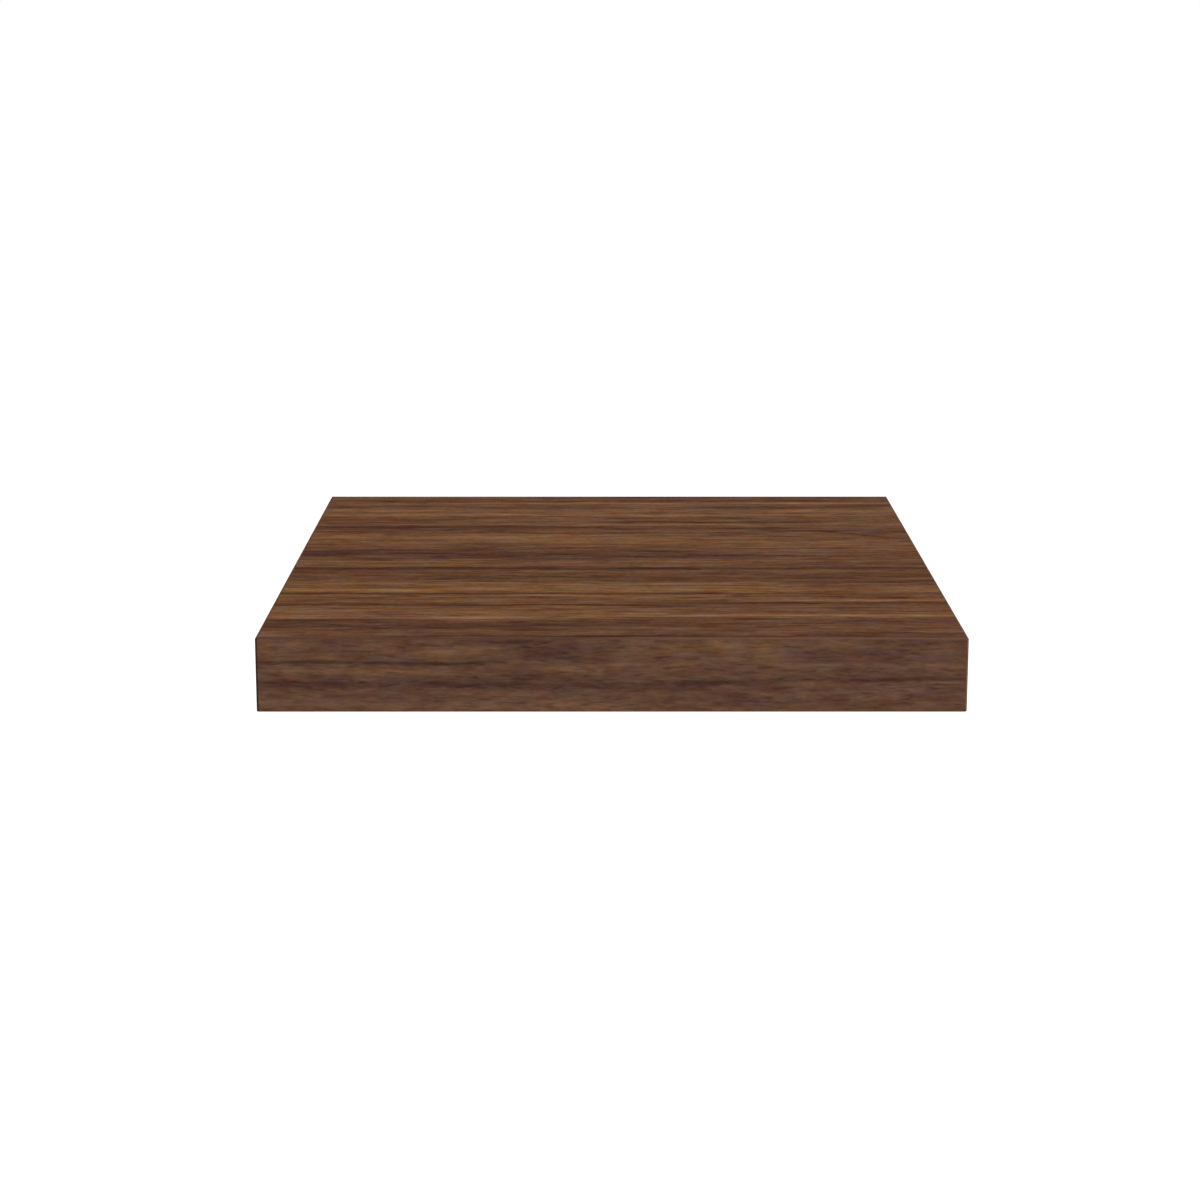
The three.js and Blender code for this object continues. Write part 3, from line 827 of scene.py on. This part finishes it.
def carve(obj, cutters):
    """Takes the cutters away from a piece."""
    for cutter in cutters:
        cut = obj.modifiers.new("cut", "BOOLEAN")
        cut.object = cutter
        cut.operation = "DIFFERENCE"
        cut.solver = "EXACT"
    carved = bpy.data.meshes.new_from_object(obj.evaluated_get(bpy.context.evaluated_depsgraph_get()))
    obj.modifiers.clear()
    obj.data = carved
    for cutter in cutters:
        bpy.data.objects.remove(cutter)


def show_print(obj, outward, limit):
    """Leaves the wood print on the faces that look outward, and shows the core on all others."""
    for face in obj.data.polygons:
        face.material_index = 0 if face.normal.dot(outward) > limit else 1


def settle(obj, node, body, sharp=sharp_angle):
    """Shades a finished piece and lets it stand for its CAD node. Its rounded edges shade smoothly,
    and the large faces beside them stay flat."""
    obj.data.shade_smooth()
    obj.data.set_sharp_from_angle(angle=sharp)
    normals = obj.modifiers.new("flat_faces", "WEIGHTED_NORMAL")
    normals.keep_sharp = True
    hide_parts(node)
    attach(obj, body)


def screw_thread(pitch, fullness_share):
    """The relief of a thread: 1 on its crest and 0 between the turns."""
    def relief(angle, height):
        phase = (height / pitch - angle / (2 * math.pi)) % 1
        return max(0, 1 - abs(2 * phase - 1) / fullness_share)

    return relief


def threaded(root, depth, start, end, pitch):
    """Profile rows of a thread between two heights, which fades in and out over its end turns."""
    rows = max(2, round(thread_rows * (end - start) / pitch))
    profile = []
    for row in range(rows + 1):
        height = start + (end - start) * row / rows
        fade = min(1, (height - start) / pitch, (end - height) / pitch)
        profile.append((root, height, depth * max(0, fade)))
    return profile


def insert_hole_cutters(side):
    """The hole for a threaded insert through the bottom skin, with the step that its flange lies in."""
    node = f"threaded_insert_{side}"
    below = board_bottom - cut_overrun
    above = high("bottom_skin").z + cut_overrun
    step_top = low(node).z + insert_flange_thickness + skin_easing
    hole = drill(insert_hole_share * radius(node), below, above, place=upright_axis(node))
    step = drill(radius(node) + skin_easing, below, step_top, place=upright_axis(node))
    return [hole, step]


def make_skins(materials):
    """The fibreboard skins, which carry the wood print and show their raw edge at the wall."""
    def at_wall(point):
        return abs(point.y) < tiny

    for name, up in (("top", 1), ("bottom", -1)):
        node = f"{name}_skin"
        mesh = block(low(node), high(node))
        ease(mesh, skin_easing, at_wall, fine_easing_steps)
        obj = piece(f"{node}_panel", mesh, [materials[name], materials["fibreboard"]])
        if name == "bottom":
            carve(obj, [cutter for side in sides for cutter in insert_hole_cutters(side)])
        show_print(obj, Vector((0, 0, up)), skin_print_limit)
        settle(obj, node, "board")


def on_board_edge(point):
    """True on the edges of the board's box, apart from those at the wall."""
    on_side = min(abs(point.x - board_left), abs(point.x - board_right)) < tiny
    on_front = abs(point.y - board_front) < tiny
    on_face = min(abs(point.z - board_bottom), abs(point.z - board_top)) < tiny
    return on_side + on_front + on_face > 1


def make_bands(materials):
    """The edge bands, printed on the outside, and on their rounded edges plain plastic coloured with
    painted light and shade.
    """
    for name, outward in (("front", (0, -1, 0)), ("left", (-1, 0, 0)), ("right", (1, 0, 0))):
        node = f"{name}_edge_band"
        mesh = block(low(node), high(node))
        ease(mesh, band_easing, on_board_edge)
        wood = materials["front"] if name == "front" else materials["side"]
        # The rounded edges and ends take the band's plastic, whose colour holds painted light and
        # shade.
        obj = piece(f"{name}_band", mesh, [wood, materials[f"{name}_core"]])
        show_print(obj, Vector(outward), band_print_limit)
        settle(obj, node, "board")


def make_frame_rails(materials):
    """The chipboard rails and the paper honeycomb, which keep their CAD shapes."""
    for node in ("front_rail", "left_rail", "right_rail"):
        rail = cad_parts[node]
        rail.material_slots[0].material = materials["chipboard"]
        bevel = rail.modifiers.new("eased", "BEVEL")
        bevel.width = rail_easing
        bevel.segments = fine_easing_steps
    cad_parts["honeycomb_core"].material_slots[0].material = materials["paper"]


def make_rear_rail(materials):
    """The rear batten, bored from behind for the rods and welds, and from below for the inserts."""
    node = "rear_rail"
    obj = piece("rear_batten", block(low(node), high(node)), [materials["pine"]])
    front = low(node).y - cut_overrun
    back = high(node).y + cut_overrun
    below = low(node).z - cut_overrun
    cutters = []
    for side in sides:
        rod, bead, insert = f"rod_{side}", f"weld_bead_{side}", f"threaded_insert_{side}"
        pocket_floor = low(bead).y - weld_pocket_gap
        cutters += [
            drill(radius(rod) + rod_bore_gap, front, back, to_wall, wall_axis(rod)),
            drill(radius(bead) + weld_pocket_gap, pocket_floor, back, to_wall, wall_axis(rod)),
            drill(insert_hole_share * radius(insert), below, 0, place=upright_axis(insert)),
        ]
    carve(obj, cutters)
    settle(obj, node, "board")


def make_inserts(materials):
    """Threaded inserts: a notched flange, a coarse wood thread outside and a plain bore."""
    for side in sides:
        node = f"threaded_insert_{side}"
        start = low(node).z
        end = high(node).z
        flange = radius(node)
        bore = radius(f"set_screw_{side}") + machine_thread_depth
        root = insert_body_share * flange - insert_thread_depth
        body = start + insert_flange_thickness
        thread_start = body + insert_easing
        thread_end = end - insert_easing
        profile = [
            (bore + insert_easing, start),
            (flange - insert_easing, start),
            (flange, start + insert_easing),
            (flange, body),
            (root, body),
            *threaded(root, insert_thread_depth, thread_start, thread_end, insert_pitch),
            (root, end),
            (bore, end),
            (bore, start + insert_easing),
        ]
        mesh = turned(profile, screw_thread(insert_pitch, insert_thread_share))
        obj = piece(f"insert_{side}", mesh, [materials["brass"]], place=upright_axis(node))
        corner = Vector((2 * flange, insert_notch, insert_notch))
        mouth = (*upright_axis(node)[:2], start)
        carve(obj, [piece("notch", block(-corner, corner), [], place=mouth)])
        settle(obj, node, "board")


def socket_cutter(start, place):
    """A hexagon socket with an eased mouth and a pointed floor, which starts at a height."""
    corner = socket_across_flats / math.sqrt(3)
    mouth = corner + head_easing
    floor = start + socket_depth
    profile = [
        (0, start - cut_overrun),
        (mouth + cut_overrun, start - cut_overrun),
        (mouth, start),
        (corner, start + head_easing),
        (corner, floor),
        (0, floor + corner / 2),
    ]
    return piece("socket", turned(profile, steps=6), [], place=place)


def make_set_screws(materials):
    """Set screws with a thread, a cup point at the top and a hexagon socket at the bottom."""
    for side in sides:
        node = f"set_screw_{side}"
        start = low(node).z
        end = high(node).z
        root = radius(node) - machine_thread_depth
        thread_start = start + 2 * head_easing
        thread_end = end - 2 * cup_depth
        profile = [
            (0, start),
            (root - head_easing, start),
            (root, start + head_easing),
            *threaded(root, machine_thread_depth, thread_start, thread_end, machine_pitch),
            (cup_radius + head_easing, end),
            (cup_radius, end),
            (0, end - cup_depth),
        ]
        mesh = turned(profile, screw_thread(machine_pitch, machine_thread_share), small_round_steps)
        obj = piece(f"lock_screw_{side}", mesh, [materials["black"]], place=upright_axis(node))
        carve(obj, [socket_cutter(start, upright_axis(node))])
        settle(obj, node, node)


def plate_hole_cutter(number, face):
    """A countersunk hole in the wall plate for a screw. Two of them are slots along X."""
    screw = f"wall_screw_{number}"
    head = radius(screw) + head_gap
    rim = face + screw_rim + head_gap
    profile = [
        (0, face - cut_overrun),
        (head + cut_overrun + plate_easing, face - cut_overrun),
        (head + plate_easing, face),
        (head, face + plate_easing),
        (head, rim),
        (shank_hole_radius, rim + head - shank_hole_radius),
        (shank_hole_radius, cut_overrun),
        (0, cut_overrun),
    ]
    mesh = turned(profile)
    if number in slotted_screws:
        for vertex in mesh.verts:
            if abs(vertex.co.x) > tiny:
                vertex.co.x += math.copysign(slot_travel / 2, vertex.co.x)
    return piece("hole", mesh, [], to_wall, wall_axis(screw))


def make_wall_plate(materials):
    """The wall plate, with the screws' holes and slots, and the holes that the rods are riveted in."""
    node = "wall_plate"
    start = low(node)
    end = high(node)

    def at_corner(point):
        return abs(abs(point.x) - end.x) < tiny and abs(abs(point.z) - end.z) < tiny

    def on_faces(point):
        return abs(point.y - start.y) < tiny or abs(point.y - end.y) < tiny

    mesh = block(start, end)
    ease(mesh, plate_corner, at_corner, plate_corner_steps)
    ease(mesh, plate_easing, on_faces, plate_easing_steps)
    obj = piece("bracket_plate", mesh, [materials["steel"]])
    cutters = [plate_hole_cutter(number, start.y) for number in screw_numbers]
    for side in sides:
        place = wall_axis(f"rod_{side}")
        cutters.append(drill(spigot_hole_radius, start.y - cut_overrun, cut_overrun, to_wall, place))
    carve(obj, cutters)
    settle(obj, node, "bracket")


def make_rods(materials):
    """The rods, each with a spigot that is riveted flush into the plate, and their welds."""
    foot = low("wall_plate").y - shoulder_gap
    for side in sides:
        node = f"rod_{side}"
        rod = radius(node)
        tip = low(node).y
        end = high(node).y
        profile = [
            (0, tip),
            (rod - rod_chamfer, tip),
            (rod - rod_chamfer + head_easing, tip + head_easing),
            (rod - head_easing, tip + rod_chamfer - head_easing),
            (rod, tip + rod_chamfer),
            (rod, foot),
            (spigot_radius, foot),
            (spigot_radius, end),
            (0, end),
        ]
        obj = piece(f"steel_rod_{side}", turned(profile), [materials["rod"]], to_wall, wall_axis(node))
        settle(obj, node, "bracket")
        make_bead(side, rod + bead_gap, foot, materials)


def make_bead(side, inner, foot, materials):
    """A weld bead round the foot of a rod, hollow towards its corner and rippled along its length."""
    node = f"weld_bead_{side}"
    leg = radius(node) - inner
    profile = [(inner, foot)]
    for row in range(bead_rows + 1):
        angle = math.pi / 2 * row / bead_rows
        out = leg * math.cos(angle) ** bead_fullness
        up = leg * math.sin(angle) ** bead_fullness
        profile.append((inner + out, foot - up, bead_ripple_depth * math.sin(2 * angle)))

    def ripples(angle, height):
        return -abs(math.sin(bead_ripples * angle / 2 + height / bead_ripple_slant))

    mesh = turned(profile, ripples, bead_round_steps)
    obj = piece(f"{node}_ripples", mesh, [materials["weld"]], to_wall, wall_axis(f"rod_{side}"))
    settle(obj, node, "bracket", bead_sharp_angle)


def recess_cutters(place):
    """A cross recess: two tapering blades, and two narrow ones between them."""
    cutters = []
    blades = ((recess_arm, recess_blade, (0, 2)), (recess_tick, recess_tick_blade, (1, 3)))
    for arm, blade, eighths in blades:
        for eighth in eighths:
            cutter = block((-arm / 2, -cut_overrun, -blade / 2), (arm / 2, recess_depth, blade / 2))
            for vertex in cutter.verts:
                if vertex.co.y > 0:
                    vertex.co.x *= recess_taper_share
            spin = Matrix.Rotation(math.pi / 4 * eighth, 4, "Y")
            cutters.append(piece("recess", cutter, [], spin, place))
    return cutters


def make_wall_screws(materials):
    """Countersunk screws with a cross recess, a plain shank and a coarse thread to the point."""
    root = screw_thread_radius - screw_thread_depth
    for number in screw_numbers:
        node = f"wall_screw_{number}"
        face = low(node).y
        end = high(node).y
        head = radius(node)
        rim = face + screw_rim
        neck = rim + head - shank_radius
        thread_start = neck + screw_plain_length
        thread_end = end - screw_point_length + screw_pitch
        profile = [
            (0, face),
            (head - head_easing, face),
            (head, face + head_easing),
            (head, rim),
            (shank_radius, neck),
            (shank_radius, thread_start - head_easing),
            *threaded(root, screw_thread_depth, thread_start, thread_end, screw_pitch),
            (screw_point_share * root, end - screw_point_length / 3),
            (0, end),
        ]
        mesh = turned(profile, screw_thread(screw_pitch, screw_thread_share), thread_round_steps)
        place = wall_axis(node)
        obj = piece(f"fixing_screw_{number}", mesh, [materials["screw"]], to_wall, place)
        carve(obj, recess_cutters((place[0], face, place[2])))
        settle(obj, node, "bracket")


def make_wall_plugs(materials):
    """Nylon plugs with a lip, saw teeth and a slit that lets them spread."""
    for number in screw_numbers:
        node = f"wall_plug_{number}"
        start = low(node).y
        end = high(node).y
        outer = radius(node)
        profile = [(plug_bore_radius + plug_lip, start), (outer - plug_lip, start)]
        profile.append((outer, start + plug_lip))
        height = start + plug_neck_length
        while height + plug_tooth_pitch < end:
            profile.append((outer, height))
            profile.append((outer - plug_tooth_height, height + plug_tooth_height))
            height += plug_tooth_pitch
        profile.append((outer - 2 * plug_tooth_height, end))
        profile += [(plug_bore_radius, end), (plug_bore_radius, start + plug_lip)]
        mesh = turned(profile, steps=small_round_steps)
        obj = piece(f"nylon_plug_{number}", mesh, [materials["nylon"]], to_wall, wall_axis(node))
        half = plug_slit_width / 2
        slit = block((-half, end - plug_slit_length, -2 * outer), (half, end + cut_overrun, 2 * outer))
        carve(obj, [piece("slit", slit, [], place=wall_axis(node))])
        settle(obj, node, "bracket")


def seen_directly(tree, path):
    """1 for a ray from the camera, or off or through something shiny or clear."""
    total = path.outputs["Is Camera Ray"]
    for kind in ("Is Glossy Ray", "Is Transmission Ray"):
        both = tree.nodes.new("ShaderNodeMath")
        both.operation = "MAXIMUM"
        tree.links.new(total, both.inputs[0])
        tree.links.new(path.outputs[kind], both.inputs[1])
        total = both.outputs[0]
    return total


def make_world():
    """A white world: full white where the camera or a mirror sees it, and softer as a light."""
    world = bpy.data.worlds.new("studio")
    world.use_nodes = True
    bpy.context.scene.world = world
    tree = world.node_tree
    background = tree.nodes["Background"]
    path = tree.nodes.new("ShaderNodeLightPath")
    strength = tree.nodes.new("ShaderNodeMapRange")
    tree.links.new(seen_directly(tree, path), strength.inputs["Value"])
    strength.inputs["To Min"].default_value = world_light
    strength.inputs["To Max"].default_value = 1
    background.inputs["Color"].default_value = (1, 1, 1, 1)
    tree.links.new(strength.outputs[0], background.inputs["Strength"])


def make_floor():
    """A white floor well below the shelf, with enough glow of its own to show as white."""
    grey = (floor_grey, floor_grey, floor_grey, 1)
    finish = {"Base Color": grey, "Roughness": floor_roughness, "Specular IOR Level": 0}
    shader = Shader("floor", finish)
    path = shader.tree.nodes.new("ShaderNodeLightPath")
    glow = shader.math("MULTIPLY", seen_directly(shader.tree, path), floor_glow)
    shader.set("Emission Color", (1, 1, 1, 1))
    shader.set("Emission Strength", glow)
    half = floor_size / 2
    mesh = bmesh.new()
    corners = ((-half, -half), (half, -half), (half, half), (-half, half))
    mesh.faces.new([mesh.verts.new((x, y, -floor_drop)) for x, y in corners])
    piece("floor", mesh, [shader.material])


def make_lamp(name, place, size, power):
    """A square soft lamp that points at the board."""
    data = bpy.data.lights.new(name, "AREA")
    data.size = size
    data.energy = power
    lamp = bpy.data.objects.new(name, data)
    lamp.location = place
    target = Vector((0, board_front / 2, 0))
    lamp.rotation_euler = (target - Vector(place)).to_track_quat("-Z", "Y").to_euler()
    bpy.context.scene.collection.objects.link(lamp)


def make_camera():
    """The camera, at the photograph's angle."""
    data = bpy.data.cameras.new("camera")
    data.lens = camera_lens
    data.shift_y = camera_shift
    data.clip_start = camera_near
    camera = bpy.data.objects.new("camera", data)
    camera.location = camera_place
    camera.rotation_euler = (math.pi / 2 - camera_tilt, 0, 0)
    bpy.context.scene.collection.objects.link(camera)
    bpy.context.scene.camera = camera


make_camera()
bpy.context.scene.view_settings.view_transform = "Standard"
make_world()
make_floor()
make_lamp("key", key_place, key_size, key_power)
make_lamp("fill", fill_place, fill_size, fill_power)
make_lamp("back", back_place, back_size, back_power)

materials = make_materials()
make_skins(materials)
make_bands(materials)
make_frame_rails(materials)
make_rear_rail(materials)
make_inserts(materials)
make_set_screws(materials)
make_wall_plate(materials)
make_rods(materials)
make_wall_screws(materials)
make_wall_plugs(materials)
